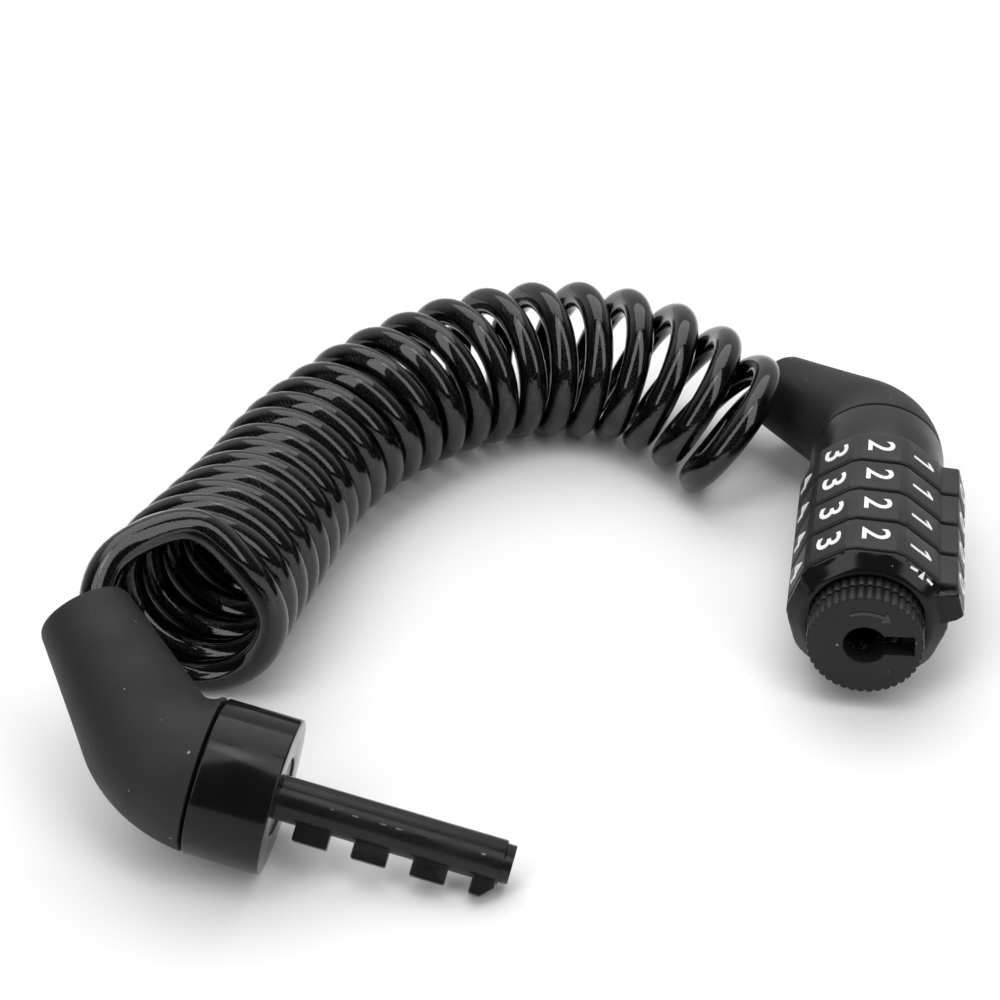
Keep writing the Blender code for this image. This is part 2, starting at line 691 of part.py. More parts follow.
def plug_frame():
    """The frame of the plug's elbow. Its own Z runs away from the bolt, and before the roll its own Y points up."""
    heading, pitch = math.radians(PLUG_HEADING), math.radians(PLUG_PITCH)
    back = Vector((-math.cos(heading) * math.cos(pitch), -math.sin(heading) * math.cos(pitch), math.sin(pitch)))
    across = Vector((math.sin(heading), -math.cos(heading), 0.0))
    return frame_matrix(PLUG_SEAM, (across, back.cross(across), back), PLUG_ELBOW_TURN)


def framed_empty(name, matrix, parent=None, origin=Vector((0, 0, 0))):
    made = empty(name, (matrix.translation - origin) * MM, matrix.to_euler())
    made.parent = parent
    return made


def build():
    start_scene()
    soft_black = material("soft_touch_black", (0.012, 0.012, 0.013), 0.55)
    collar_black = material("black_lacquer", (0.01, 0.01, 0.011), 0.3)
    dial_black = material("dial_black", (0.02, 0.02, 0.021), 0.4)
    gloss_black = material("gloss_black", (0.008, 0.008, 0.009), 0.18)
    smoke = material("smoke_pvc", (0.02, 0.02, 0.02), 0.12)
    steel = material("steel", (0.45, 0.45, 0.46), 0.35, 1.0)
    zinc = material("black_zinc", (0.02, 0.02, 0.022), 0.35, 0.6)

    lock_axis = framed_empty("lock_axis", lock_frame(0.0, -DIAL_ROLL))
    key_axis = framed_empty("key_axis", lock_frame(0.0, -KEYWAY_ROLL))
    lock_matrix = lock_frame(SEAM, LOCK_ELBOW_TURN)
    lock_end = framed_empty("lock_elbow_frame", lock_matrix)
    plug_matrix = plug_frame()

    lock_side, middle, plug_side, hinge_turn, slide_turn = cable_lengths(lock_matrix, plug_matrix)
    hinge_at = coil_point(hinge_turn)
    slide_at = coil_point(slide_turn)
    coil_hinge = empty("coil_hinge", hinge_at * MM)
    plug_slide = empty("plug_slide", (slide_at - hinge_at) * MM)
    plug_slide.parent = coil_hinge
    plug_end = framed_empty("plug_elbow_frame", plug_matrix, plug_slide, slide_at)

    build_dials(lock_axis, dial_black, zinc)
    build_spindle(key_axis, lock_end, zinc)
    build_front(lock_axis, key_axis, gloss_black, gloss_black, steel)
    build_wave_spring(lock_axis, steel)
    build_elbow("lock_elbow", lock_end, soft_black)
    build_ferrule_and_pin("lock", lock_end, steel)
    collar_low = DIAL_FROM + DIAL_PITCH * DIAL_COUNT + GAP - SEAM
    build_collar("lock_collar", lock_end, collar_low, -GAP, 0.0, collar_black)

    build_elbow("plug_elbow", plug_end, soft_black)
    build_ferrule_and_pin("plug", plug_end, steel)
    build_collar("plug_collar", plug_end, -PLUG_COLLAR_TO, -GAP, PLUG_WALL, gloss_black)
    build_bolt(plug_end, zinc)

    build_cable("lock_side", lock_side, None, Vector((0, 0, 0)), (2, 0), smoke, steel)
    build_cable("middle", middle, coil_hinge, hinge_at, (0, 0), smoke, steel)
    build_cable("plug_side", plug_side, plug_slide, slide_at, (0, 2), smoke, steel)


build()
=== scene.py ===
"""The finished look of the coiled combination cable lock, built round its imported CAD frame.

Everything is in the CAD's frame. Constants are millimetres and degrees, and MM turns them into metres. The dimensions
are the CAD's own, with finer meshes, rounded edges, numerals, twisted wires and surface finishes added.
"""

import math

import bmesh
import bpy
import numpy as np
from mathutils import Matrix, Vector


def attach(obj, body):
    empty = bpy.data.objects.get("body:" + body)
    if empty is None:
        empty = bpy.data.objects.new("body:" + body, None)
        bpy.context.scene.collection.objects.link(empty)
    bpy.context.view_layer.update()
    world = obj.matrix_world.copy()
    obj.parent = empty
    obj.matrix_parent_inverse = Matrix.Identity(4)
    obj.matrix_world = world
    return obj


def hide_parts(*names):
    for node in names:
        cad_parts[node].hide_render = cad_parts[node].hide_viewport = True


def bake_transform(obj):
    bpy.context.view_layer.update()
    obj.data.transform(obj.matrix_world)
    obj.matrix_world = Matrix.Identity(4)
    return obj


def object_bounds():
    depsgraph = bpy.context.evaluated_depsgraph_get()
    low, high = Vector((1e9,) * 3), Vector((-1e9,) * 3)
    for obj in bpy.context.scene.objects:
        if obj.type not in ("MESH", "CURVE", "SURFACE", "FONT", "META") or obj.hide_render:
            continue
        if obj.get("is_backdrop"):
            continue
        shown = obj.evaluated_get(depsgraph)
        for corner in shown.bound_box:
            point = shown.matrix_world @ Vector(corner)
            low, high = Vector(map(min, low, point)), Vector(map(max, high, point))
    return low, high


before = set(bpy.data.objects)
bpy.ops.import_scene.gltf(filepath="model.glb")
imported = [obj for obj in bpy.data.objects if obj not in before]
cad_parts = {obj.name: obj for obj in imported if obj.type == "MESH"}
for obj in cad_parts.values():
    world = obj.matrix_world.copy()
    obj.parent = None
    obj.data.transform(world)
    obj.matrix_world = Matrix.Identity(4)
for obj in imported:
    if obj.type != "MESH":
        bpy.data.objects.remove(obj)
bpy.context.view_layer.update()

MM = 0.001
GAP = 0.3

# The lock head, measured along its axis from the keyway face.
LOCK_X, LOCK_FACE_Y, LOCK_AXIS_Z = 38.63, -11.82, 9.33
DIAL_ROLL, KEYWAY_ROLL, LOCK_ELBOW_TURN = 17.0, 5.0, 171.6
COLLAR_R, COLLAR_BORE_R = 8.4, 6.9
KNOB_R, KNOB_T, KNURL_TEETH, KNURL_DEPTH = 6.7, 2.4, 40, 0.28
RING_FROM, RING_TO = 2.7, 4.3
FLANGE_FROM, FLANGE_TO, LUG_FROM = 4.1, 6.15, 4.9
FLANGE_FRONT_R, FLANGE_FULL_FROM = 7.4, 5.95
DIAL_FROM, DIAL_PITCH, DIAL_COUNT, DIAL_GROOVE = 6.3, 6.4, 4, 0.5
RIDGE_R, RIDGE_W = 9.3, 1.1
LUG_ROOT_R, LUG_R, LUG_TIP_W, LUG_ROOT_W = 9.0, 10.95, 3.9, 5.3
FLANGE_LUG = ((6.6, 3.3), (8.2, 2.05), (10.3, 1.8), (11.0, 1.45))  # (distance from the axis, half its width)
CODE_RING_R = 6.7
STEP_R, STEP_BORE_R = 8.1, 7.45
SPINDLE_R = 4.0
KEYWAY_R, KEYWAY_REACH, KEYWAY_W = 2.5, 5.6, 2.6
SEAM = 40.0
HUB_R, HUB_NECK_R, HUB_TO = 5.6, 5.0, 6.4
CLIP_FROM, CLIP_TO, CLIP_R = 5.7, 6.1, 7.0

# The plug, measured along its axis from the joint between elbow and collar.
PLUG_SEAM = (-29.07, -47.1, 10.01)
PLUG_HEADING, PLUG_PITCH, PLUG_ELBOW_TURN = -1.2, 12.0, 151.2
PLUG_COLLAR_TO, PLUG_WALL = 8.6, 2.0
BOLT_R, BOLT_L, BOLT_TIP_L, TAIL_R, TAIL_RECESS = 2.4, 24.2, 1.0, 4.0, 0.2
TOOTH_REACH, TOOTH_L, TOOTH_W, TOOTH_PITCH, TOOTH_FIRST, TOOTH_ROLL = 4.05, 3.8, 2.2, 6.4, 2.3, 48.0

# The elbow.
ELBOW_BEND, ELBOW_BEND_R, ELBOW_FIRST, ELBOW_LAST = 44.7, 9.73, 0.5, 15.46
ELBOW_TAPER, MOUTH_R, THROAT, FLARE_R = 0.87, 5.12, 5.0, 4.0
SPIGOT_R, SPIGOT_L, SPIGOT_BORE_R = 6.6, 5.0, 4.3
FERRULE_R, FERRULE_FROM, FERRULE_TO = 3.4, -1.5, 5.5
PIN_R, PIN_Z = 1.0, -3.5

# The cable and its coil.
CABLE_R, JACKET_BORE_R = 1.85, 1.45
WIRE_OUTER_R, WIRE_GROOVE, WIRES, LAY = 1.38, 0.17, 12, 7.6
COIL_START, COIL_PHASE, MIDDLE_STEP = (21.73, 31.23), -168.8, 0.025
COIL_STATIONS = (
    (0.0, 122.9, 7.9, 8.36, -41.6, 45.7),
    (2.0, 145.8, 6.36, 8.77, -31.1, 30.1),
    (4.5, 185.0, 5.36, 8.88, -15.3, 12.6),
    (8.0, 222.5, 5.17, 8.65, 2.0, 4.2),
    (12.0, 245.2, 4.5, 8.43, 14.8, 1.4),
    (16.0, 263.7, 4.26, 8.34, 5.7, -6.0),
    (20.0, 260.3, 4.32, 9.4, -1.3, 7.8),
    (22.6, 266.7, 4.35, 10.16, -1.3, 9.1),
)
LEAD_IN_TURN, LEAD_IN_VIA = 0.2, ((23.13, 47.23, 6.6),)
LEAD_OUT_TURN = 22.45
LEAD_OUT_VIA = ((-31.47, -21.87, 19.9), (-37.0, -21.9, 24.2), (-43.9, -29.7, 23.5))
SPLIT_TURN = 10.5  # the cable's two visible lengths meet under about this loop
BEND_TURNS = (3.3, 6.7)  # the loops over which the lock half's blend weights rise from 0 to 1
STRETCH_TURNS = (11.0, 22.2)  # the loops over which the plug half's blend weights rise from 0 to 1


def polar(radius, degrees):
    return (radius * math.cos(math.radians(degrees)), radius * math.sin(math.radians(degrees)))


# Materials: every one takes its colour, roughness and bump from procedural nodes.


def new_material(name):
    made = bpy.data.materials.new(name)
    made.use_nodes = True
    return made, made.node_tree, made.node_tree.nodes["Principled BSDF"]


def add(tree, kind, **inputs):
    node = tree.nodes.new(kind)
    for key, value in inputs.items():
        node.inputs[key.replace("_", " ")].default_value = value
    return node


def noise(tree, scale, detail=3.0, stretch=None):
    """A noise value in the object's own coordinates. scale is in cells a metre."""
    place = tree.nodes.new("ShaderNodeTexCoord")
    made = add(tree, "ShaderNodeTexNoise", Scale=scale, Detail=detail)
    if stretch:
        mapping = add(tree, "ShaderNodeMapping", Scale=stretch)
        tree.links.new(place.outputs["Object"], mapping.inputs["Vector"])
        tree.links.new(mapping.outputs["Vector"], made.inputs["Vector"])
    else:
        tree.links.new(place.outputs["Object"], made.inputs["Vector"])
    return made.outputs["Fac"]


def ramp(tree, value, stops):
    """A colour or grey from a value. stops is (position, grey or rgb)."""
    made = tree.nodes.new("ShaderNodeValToRGB")
    points = made.color_ramp.elements
    while len(points) < len(stops):
        points.new(0.5)
    for point, (at, colour) in zip(points, stops):
        point.position = at
        point.color = (*colour, 1.0) if isinstance(colour, tuple) else (colour, colour, colour, 1.0)
    tree.links.new(value, made.inputs["Fac"])
    return made.outputs["Color"]


def bump(tree, surface, value, strength, distance):
    made = add(tree, "ShaderNodeBump", Strength=strength, Distance=distance * MM)
    before = surface.inputs["Normal"].links
    if before:
        tree.links.new(before[0].from_socket, made.inputs["Normal"])
    tree.links.new(value, made.inputs["Height"])
    tree.links.new(made.outputs["Normal"], surface.inputs["Normal"])


def mix_colour(tree, share, a, b):
    made = tree.nodes.new("ShaderNodeMix")
    made.data_type = "RGBA"
    tree.links.new(share, made.inputs["Factor"])
    for socket, colour in ((made.inputs["A"], a), (made.inputs["B"], b)):
        if isinstance(colour, tuple):
            socket.default_value = (*colour, 1.0)
        else:
            tree.links.new(colour, socket)
    return made.outputs["Result"]


def plastic(name, dark, light, rough, grain, grain_depth, cloud=60.0, specks=0.0, specular=0.5):
    """Black moulded or painted stock: uneven colour, uneven gloss, fine grain and a little dust."""
    made, tree, surface = new_material(name)
    clouds = noise(tree, cloud, 4.0)
    colour = ramp(tree, clouds, ((0.3, dark), (0.7, light)))
    if specks:
        dots = ramp(tree, noise(tree, 1500.0, 1.0), ((specks, 0.0), (specks + 0.02, 1.0)))
        colour = mix_colour(tree, dots, colour, (0.35, 0.35, 0.34))
    tree.links.new(colour, surface.inputs["Base Color"])
    uneven = ramp(tree, noise(tree, 220.0, 5.0), ((0.3, rough[0]), (0.7, rough[1])))
    tree.links.new(uneven, surface.inputs["Roughness"])
    surface.inputs["Specular IOR Level"].default_value = specular
    bump(tree, surface, noise(tree, grain, 2.0), 0.35, grain_depth)
    return made


def worn_coat(name):
    """Black coating over steel: chipped to bare metal along its edges, with fine rubbed lines."""
    made, tree, surface = new_material(name)
    shape = tree.nodes.new("ShaderNodeNewGeometry")
    edge = ramp(tree, shape.outputs["Pointiness"], ((0.57, 0.0), (0.65, 1.0)))
    chips = ramp(tree, noise(tree, 900.0, 4.0), ((0.58, 0.0), (0.63, 1.0)))
    both = tree.nodes.new("ShaderNodeMath")
    both.operation = "MULTIPLY"
    tree.links.new(edge, both.inputs[0])
    tree.links.new(chips, both.inputs[1])
    coat = ramp(tree, noise(tree, 160.0, 4.0), ((0.3, (0.006, 0.006, 0.0065)), (0.7, (0.015, 0.0145, 0.014))))
    colour = mix_colour(tree, both.outputs[0], coat, (0.42, 0.41, 0.4))
    tree.links.new(colour, surface.inputs["Base Color"])
    tree.links.new(both.outputs[0], surface.inputs["Metallic"])
    rubbed = ramp(tree, noise(tree, 700.0, 5.0, (0.25, 1.0, 1.0)), ((0.35, 0.16), (0.7, 0.38)))
    tree.links.new(rubbed, surface.inputs["Roughness"])
    surface.inputs["Specular IOR Level"].default_value = 0.25
    bump(tree, surface, noise(tree, 1300.0, 3.0), 0.3, 0.02)
    return made


def metal(name, dark, light, rough, scale=400.0):
    made, tree, surface = new_material(name)
    colour = ramp(tree, noise(tree, scale, 4.0), ((0.3, dark), (0.7, light)))
    tree.links.new(colour, surface.inputs["Base Color"])
    surface.inputs["Metallic"].default_value = 1.0
    uneven = ramp(tree, noise(tree, scale * 3, 3.0), ((0.3, rough[0]), (0.7, rough[1])))
    tree.links.new(uneven, surface.inputs["Roughness"])
    bump(tree, surface, noise(tree, scale * 5, 2.0), 0.2, 0.01)
    return made


def smoke_pvc(name, tint, body_share, reflect):
    """Clear black plastic: a smooth glossy skin over a tinted body that lets the wires show through faintly."""
    made, tree, surface = new_material(name)
    out = tree.nodes["Material Output"]
    tree.nodes.remove(surface)
    fresnel = add(tree, "ShaderNodeFresnel", IOR=1.5)
    gloss = add(tree, "ShaderNodeBsdfGlossy", Color=(reflect, reflect, reflect, 1.0))
    rough = ramp(tree, noise(tree, 150.0, 4.0), ((0.3, 0.03), (0.7, 0.09)))
    tree.links.new(rough, gloss.inputs["Roughness"])
    clear = add(tree, "ShaderNodeBsdfTransparent")
    tinted = ramp(tree, noise(tree, 90.0, 3.0), ((0.3, tint[0]), (0.7, tint[1])))
    tree.links.new(tinted, clear.inputs["Color"])
    dark = add(tree, "ShaderNodeBsdfDiffuse", Color=(0.006, 0.006, 0.0065, 1.0))
    body = add(tree, "ShaderNodeMixShader", Fac=body_share)
    tree.links.new(clear.outputs[0], body.inputs[1])
    tree.links.new(dark.outputs[0], body.inputs[2])
    skin = tree.nodes.new("ShaderNodeMixShader")
    tree.links.new(fresnel.outputs[0], skin.inputs["Fac"])
    tree.links.new(body.outputs[0], skin.inputs[1])
    tree.links.new(gloss.outputs[0], skin.inputs[2])
    tree.links.new(skin.outputs[0], out.inputs["Surface"])
    ripple = add(tree, "ShaderNodeBump", Strength=0.25, Distance=0.03 * MM)
    tree.links.new(noise(tree, 260.0, 2.0), ripple.inputs["Height"])
    tree.links.new(ripple.outputs["Normal"], gloss.inputs["Normal"])
    return made


SOFT = plastic("soft_touch", (0.009, 0.009, 0.0095), (0.015, 0.015, 0.0155), (0.5, 0.64), 2600.0, 0.05, specks=0.79, specular=0.3)
SATIN = plastic("satin_lacquer", (0.008, 0.008, 0.008), (0.014, 0.0135, 0.013), (0.26, 0.4), 1800.0, 0.012, specular=0.32)
GLOSS = plastic("gloss_lacquer", (0.004, 0.004, 0.0045), (0.009, 0.009, 0.009), (0.1, 0.2), 900.0, 0.012, specks=0.8, specular=0.22)
DIAL = plastic("dial_plastic", (0.011, 0.011, 0.0115), (0.02, 0.02, 0.0205), (0.34, 0.48), 2400.0, 0.02, specular=0.3)
KNOB = plastic("knob_plastic", (0.007, 0.007, 0.007), (0.013, 0.013, 0.0135), (0.28, 0.42), 1700.0, 0.03, specks=0.79, specular=0.25)
PAINT = plastic("numeral_paint", (0.74, 0.74, 0.73), (0.9, 0.9, 0.89), (0.4, 0.6), 2200.0, 0.01)
FAINT = plastic("moulded_mark", (0.012, 0.012, 0.012), (0.024, 0.024, 0.024), (0.25, 0.4), 2000.0, 0.02)
COAT = worn_coat("black_coat")
SMOKE = smoke_pvc("smoke_pvc", (0.2, 0.3), 0.3, 1.0)
SMOKE_INSIDE = smoke_pvc("smoke_pvc_inside", (0.9, 0.98), 0.02, 0.3)
WIRE = metal("twisted_wire", (0.3, 0.3, 0.3), (0.6, 0.6, 0.61), (0.2, 0.34), 900.0)
STEEL = metal("spring_steel", (0.38, 0.38, 0.39), (0.56, 0.56, 0.57), (0.22, 0.38))
BRASS_LIKE = metal("zinc_alloy", (0.25, 0.25, 0.26), (0.4, 0.4, 0.41), (0.3, 0.48))


# Meshes.


def mesh_object(name, verts, faces, finish, matrix=None, sharp=35.0, faces_material=None):
    """A mesh piece from vertices in millimetres."""
    mesh = bpy.data.meshes.new(name)
    mesh.from_pydata([tuple(v) for v in np.asarray(verts, float) * MM], [], faces)
    mesh.validate()
    obj = bpy.data.objects.new(name, mesh)
    bpy.context.scene.collection.objects.link(obj)
    if matrix is not None:
        scaled = matrix.copy()
        scaled.translation = matrix.translation * MM
        mesh.transform(scaled)
    for made in finish if isinstance(finish, (list, tuple)) else [finish]:
        mesh.materials.append(made)
    if faces_material is not None:
        mesh.polygons.foreach_set("material_index", faces_material)
    tidy(obj, sharp)
    return obj


def tidy(obj, sharp=35.0):
    """Faces outwards, smooth except along real edges."""
    shape = bmesh.new()
    shape.from_mesh(obj.data)
    bmesh.ops.recalc_face_normals(shape, faces=shape.faces)
    shape.to_mesh(obj.data)
    shape.free()
    obj.data.shade_smooth()
    obj.data.set_sharp_from_angle(angle=math.radians(sharp))


def ring_faces(rings, sides, closed=True, flip=False):
    """Quads between rings of vertices, with the last joined to the first where closed, or both ends capped."""
    faces = []
    for i in range(rings if closed else rings - 1):
        a, b = i * sides, (i + 1) % rings * sides
        for j in range(sides):
            k = (j + 1) % sides
            faces.append((a + j, a + k, b + k, b + j))
    if not closed:
        faces.append(tuple(range(sides - 1, -1, -1)))
        faces.append(tuple(range((rings - 1) * sides, rings * sides)))
    return faces


def lathe(name, profile, finish, matrix, steps=96, sharp=30.0):
    """A closed ring of material turned about Z from a closed profile of (radius, height), radius above zero."""
    angles = np.arange(steps) * math.tau / steps
    verts = [(r * math.cos(a), r * math.sin(a), z) for r, z in profile for a in angles]
    return mesh_object(name, verts, ring_faces(len(profile), steps), finish, matrix, sharp)


def rounded(points, radius, steps=4, closed=True):
    """The corners of a polygon rounded off."""
    out = []
    count = len(points)
    for i, point in enumerate(points):
        if not closed and i in (0, count - 1):
            out.append(point)
            continue
        here = Vector(point)
        before = Vector(points[i - 1]) - here
        after = Vector(points[(i + 1) % count]) - here
        turn = before.angle(after)
        reach = min(radius / math.tan(turn / 2), before.length * 0.49, after.length * 0.49)
        if turn > math.radians(176) or reach < 0.01:
            out.append(point)
            continue
        a = here + before.normalized() * reach
        b = here + after.normalized() * reach
        for k in range(steps + 1):
            t = k / steps
            spot = a * (1 - t) ** 2 + here * 2 * t * (1 - t) + b * t * t
            out.append(tuple(spot))
    return out


def plate(name, loops, low, high, finish, matrix, edge=0.15, edge_steps=2, sharp=35.0):
    """A flat shape from closed loops, the later ones holes, between two heights, with rounded rims."""
    curve = bpy.data.curves.new(name, "CURVE")
    curve.dimensions = "2D"
    curve.fill_mode = "BOTH"
    curve.extrude = ((high - low) / 2 - edge) * MM
    curve.bevel_depth = edge * MM
    curve.bevel_resolution = edge_steps
    curve.offset = -edge * MM
    for points in loops:
        spline = curve.splines.new("POLY")
        spline.points.add(len(points) - 1)
        for point, (x, y) in zip(spline.points, points):
            point.co = (x * MM, y * MM, 0.0, 1.0)
        spline.use_cyclic_u = True
    obj = bpy.data.objects.new(name, curve)
    bpy.context.scene.collection.objects.link(obj)
    return settle(obj, finish, matrix @ Matrix.Translation((0, 0, (low + high) / 2)), sharp)


def settle(obj, finish, matrix, sharp=35.0):
    """A welded mesh copy of a curve, text or modified object, put where the matrix (mm) says."""
    bpy.context.view_layer.update()
    graph = bpy.context.evaluated_depsgraph_get()
    mesh = bpy.data.meshes.new_from_object(obj.evaluated_get(graph))
    name = obj.name
    bpy.data.objects.remove(obj, do_unlink=True)
    shape = bmesh.new()
    shape.from_mesh(mesh)
    bmesh.ops.remove_doubles(shape, verts=shape.verts, dist=0.000002)
    bmesh.ops.dissolve_degenerate(shape, edges=shape.edges, dist=0.000001)
    shape.to_mesh(mesh)
    shape.free()
    scaled = matrix.copy()
    scaled.translation = matrix.translation * MM
    mesh.transform(scaled)
    mesh.materials.clear()
    mesh.materials.append(finish)
    made = bpy.data.objects.new(name, mesh)
    bpy.context.scene.collection.objects.link(made)
    tidy(made, sharp)
    return made


def join(name, objects):
    """One piece from several meshes that share a material."""
    shape = bmesh.new()
    for obj in objects:
        shape.from_mesh(obj.data)
    mesh = bpy.data.meshes.new(name)
    shape.to_mesh(mesh)
    shape.free()
    for made in objects[0].data.materials:
        mesh.materials.append(made)
    for obj in objects:
        bpy.data.objects.remove(obj, do_unlink=True)
    obj = bpy.data.objects.new(name, mesh)
    bpy.context.scene.collection.objects.link(obj)
    tidy(obj)
    return obj


def boolean(obj, other, operation):
    """Cuts or adds one mesh at once and removes the other."""
    step = obj.modifiers.new("step", "BOOLEAN")
    step.operation = operation
    step.object = other
    step.solver = "EXACT"
    bpy.context.view_layer.update()
    graph = bpy.context.evaluated_depsgraph_get()
    mesh = bpy.data.meshes.new_from_object(obj.evaluated_get(graph))
    obj.modifiers.clear()
    obj.data = mesh
    bpy.data.objects.remove(other, do_unlink=True)
    return obj


def frame_matrix(place_mm, columns, roll):
    turn = Matrix(columns).transposed().to_4x4() @ Matrix.Rotation(math.radians(roll), 4, "Z")
    return Matrix.Translation(place_mm) @ turn


def plug_frame():
    """The frame of the plug's elbow. Its own Z runs away from the bolt."""
    heading, pitch = math.radians(PLUG_HEADING), math.radians(PLUG_PITCH)
    back = Vector((-math.cos(heading) * math.cos(pitch), -math.sin(heading) * math.cos(pitch), math.sin(pitch)))
    across = Vector((math.sin(heading), -math.cos(heading), 0.0))
    return frame_matrix(PLUG_SEAM, (across, back.cross(across), back), PLUG_ELBOW_TURN)


# Seen from the front of the lock: X to the right, Y up, and Z towards the viewer, so heights are negative inwards.
FRONT_WAYS = ((1, 0, 0), (0, 0, 1), (0, -1, 0))
FRONT = frame_matrix((LOCK_X, LOCK_FACE_Y, LOCK_AXIS_Z), FRONT_WAYS, DIAL_ROLL)
KEY_FRONT = frame_matrix((LOCK_X, LOCK_FACE_Y, LOCK_AXIS_Z), FRONT_WAYS, KEYWAY_ROLL)
LOCK_END = frame_matrix((LOCK_X, LOCK_FACE_Y + SEAM, LOCK_AXIS_Z), ((1, 0, 0), (0, 0, -1), (0, 1, 0)), LOCK_ELBOW_TURN)
PLUG_END = plug_frame()


# The coil's centreline, as in the CAD.


def station(turn):
    for low, high in zip(COIL_STATIONS, COIL_STATIONS[1:]):
        if turn <= high[0]:
            share = max(0.0, (turn - low[0]) / (high[0] - low[0]))
            return [a + (b - a) * share for a, b in zip(low[1:], high[1:])]
    return list(COIL_STATIONS[-1][1:])


def middle_line():
    points = [Vector((*COIL_START, 0.0))]
    for i in range(round(24 / MIDDLE_STEP)):
        heading, pitch = station((i + 0.5) * MIDDLE_STEP)[:2]
        points.append(points[-1] + Vector((*polar(pitch * MIDDLE_STEP, heading), 0.0)))
    return points


MIDDLE = middle_line()


def coil_point(turn):
    i, share = divmod(max(turn, 0.0) / MIDDLE_STEP, 1)
    middle = MIDDLE[int(i)].lerp(MIDDLE[int(i) + 1], share)
    heading, pitch, radius, lean, yaw = station(turn)
    along = Vector((*polar(1.0, heading + yaw), 0.0))
    left = Vector((-along.y, along.x, 0.0))
    lean = math.radians(lean)
    top = math.sin(lean) * along + Vector((0.0, 0.0, math.cos(lean)))
    angle = math.tau * turn + math.radians(COIL_PHASE)
    rest = Vector((0.0, 0.0, radius * math.cos(lean) + CABLE_R))
    return middle + rest + radius * (math.cos(angle) * left + math.sin(angle) * top)


def coil_way(turn):
    return (coil_point(turn + 0.01) - coil_point(turn - 0.01)).normalized()


def bridge(a, a_way, via, b, b_way, per):
    knots = [a, *[Vector(v) for v in via], b]
    slopes = [a_way * (knots[1] - a).length]
    slopes += [(after - before) / 2 for before, after in zip(knots, knots[2:])]
    slopes.append(b_way * (b - knots[-2]).length)
    points = []
    for p, q, p_slope, q_slope in zip(knots, knots[1:], slopes, slopes[1:]):
        for i in range(per):
            t = i / per
            points.append(
                p * (2 * t**3 - 3 * t**2 + 1) + p_slope * (t**3 - 2 * t**2 + t)
                + q * (-2 * t**3 + 3 * t**2) + q_slope * (t**3 - t**2)
            )
    return points[1:]


def elbow_mouth():
    bend = math.radians(ELBOW_BEND)
    out = Vector((math.sin(bend), 0.0, math.cos(bend)))
    corner = Vector((ELBOW_BEND_R * (1 - math.cos(bend)), 0.0, ELBOW_FIRST + ELBOW_BEND_R * math.sin(bend)))
    return corner + ELBOW_LAST * out, out


def elbow_cable_path(count):
    mouth, out = elbow_mouth()
    throat = mouth - THROAT * out
    a = Vector((0, 0, FERRULE_TO))
    b = a + Vector((0, 0, 4.0))
    c = throat - 5.0 * out
    return [
        a * (1 - t) ** 3 + b * 3 * t * (1 - t) ** 2 + c * 3 * t * t * (1 - t) + throat * t**3
        for t in (i / count for i in range(count + 1))
    ]


def side_turn(near, degrees):
    part = (degrees - COIL_PHASE) / 360
    return round(near - part) + part


def cable_halves():
    """Two runs of (point, turn): from the lock's elbow to the split, and from the split to the plug's elbow."""
    out = elbow_mouth()[1]
    split = side_turn(SPLIT_TURN, -90)
    in_lock = [LOCK_END @ p for p in [Vector((0, 0, FERRULE_FROM + 0.5)), *elbow_cable_path(10)]]
    in_plug = [PLUG_END @ p for p in [Vector((0, 0, FERRULE_FROM + 0.5)), *elbow_cable_path(10)]]
    lock_way = LOCK_END.to_3x3() @ out
    plug_way = PLUG_END.to_3x3() @ out
    first, last = LEAD_IN_TURN, LEAD_OUT_TURN
    lead_in = bridge(in_lock[-1], lock_way, LEAD_IN_VIA, coil_point(first), coil_way(first), 16)
    lead_out = bridge(coil_point(last), coil_way(last), LEAD_OUT_VIA, in_plug[-1], -plug_way, 12)
    gap = 0.01 / (math.tau * station(split)[2])
    near = [(p, first) for p in in_lock + lead_in]
    near += [(coil_point(t), t) for t in np.linspace(first, split - gap, round((split - first) * 48)).tolist()]
    far = [(coil_point(t), t) for t in np.linspace(split + gap, last, round((last - split) * 48)).tolist()]
    far += [(p, last) for p in lead_out + in_plug[::-1]]
    return near, far


def resample(run, step):
    """The run at even steps: points, turns and distances along it."""
    points = np.array([tuple(p) for p, _ in run])
    turns = np.array([t for _, t in run])
    along = np.concatenate([[0.0], np.cumsum(np.linalg.norm(np.diff(points, axis=0), axis=1))])
    count = max(2, round(along[-1] / step))
    at = np.linspace(0.0, along[-1], count + 1)
    even = np.stack([np.interp(at, along, points[:, k]) for k in range(3)], 1)
    # A light smoothing hides the corners that straight interpolation leaves.
    for _ in range(2):
        even[1:-1] = (even[:-2] + 2 * even[1:-1] + even[2:]) / 4
    return even, np.interp(at, along, turns), at


def side_frames(points):
    """Two unit vectors square to the run at each point, which don't spin about it."""
    ways = np.gradient(points, axis=0)
    ways /= np.linalg.norm(ways, axis=1)[:, None]
    u = np.zeros_like(points)
    start = np.cross(ways[0], (0.0, 0.0, 1.0))
    u[0] = start / np.linalg.norm(start)
    for i in range(1, len(points)):
        side = u[i - 1] - (u[i - 1] @ ways[i]) * ways[i]
        u[i] = side / np.linalg.norm(side)
    return u, np.cross(ways, u)


def tube_rings(points, u, v, radii, spin=None):
    """Rings of vertices round a run. radii is a number or one radius for each side, spin an angle at each point."""
    sides = len(radii)
    angles = np.arange(sides) * math.tau / sides
    angles = angles[None, :] + (spin[:, None] if spin is not None else 0.0)
    radii = np.asarray(radii)[None, :, None]
    return points[:, None, :] + radii * (np.cos(angles)[..., None] * u[:, None, :] + np.sin(angles)[..., None] * v[:, None, :])


def share_of(turns, limits):
    return np.clip((turns - limits[0]) / (limits[1] - limits[0]), 0.0, 1.0)


